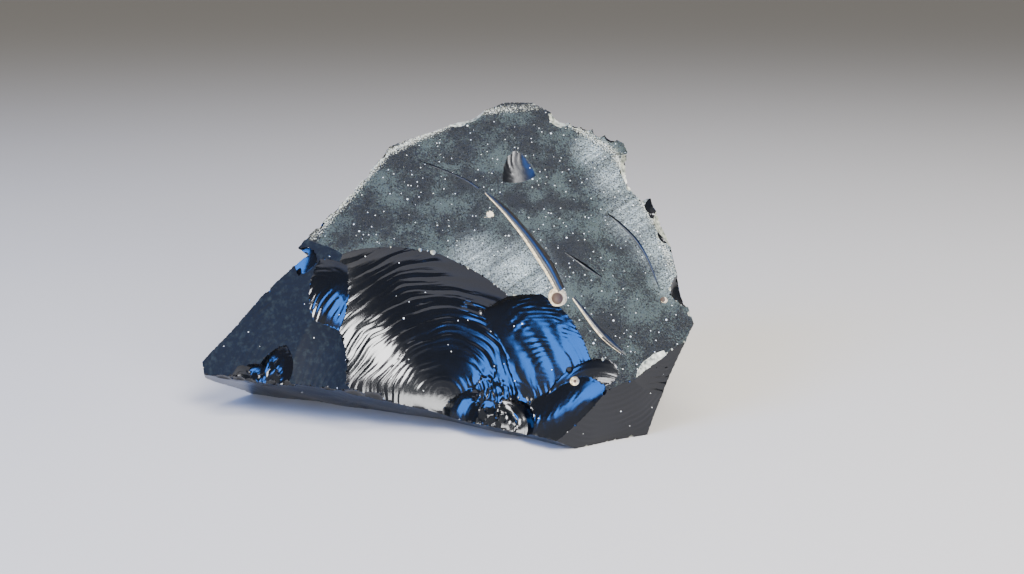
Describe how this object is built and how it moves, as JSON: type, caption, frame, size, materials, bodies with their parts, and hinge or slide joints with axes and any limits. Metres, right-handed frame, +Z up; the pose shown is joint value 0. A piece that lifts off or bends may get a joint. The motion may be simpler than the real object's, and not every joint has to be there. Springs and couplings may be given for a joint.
{
  "type": "obsidian chunk",
  "caption": "Chunk of black volcanic glass with a rippled shell-like fracture scar in front, a dusty upper face and sharp edges.",
  "frame": {"origin": "middle of the bounding box's bottom face, on the surface that the chunk rests on", "axes": "+X along the chunk's length towards its thick end, +Y away from the big rippled scar, +Z up"},
  "size_m": [0.1206, 0.0643, 0.0753],
  "materials": {
    "volcanic_glass": "black volcanic glass, glossy where freshly broken and dusty grey on the old upper face"
  },
  "bodies": {
    "root": {"obsidian_chunk": "volcanic_glass"}
  },
  "joints": []
}
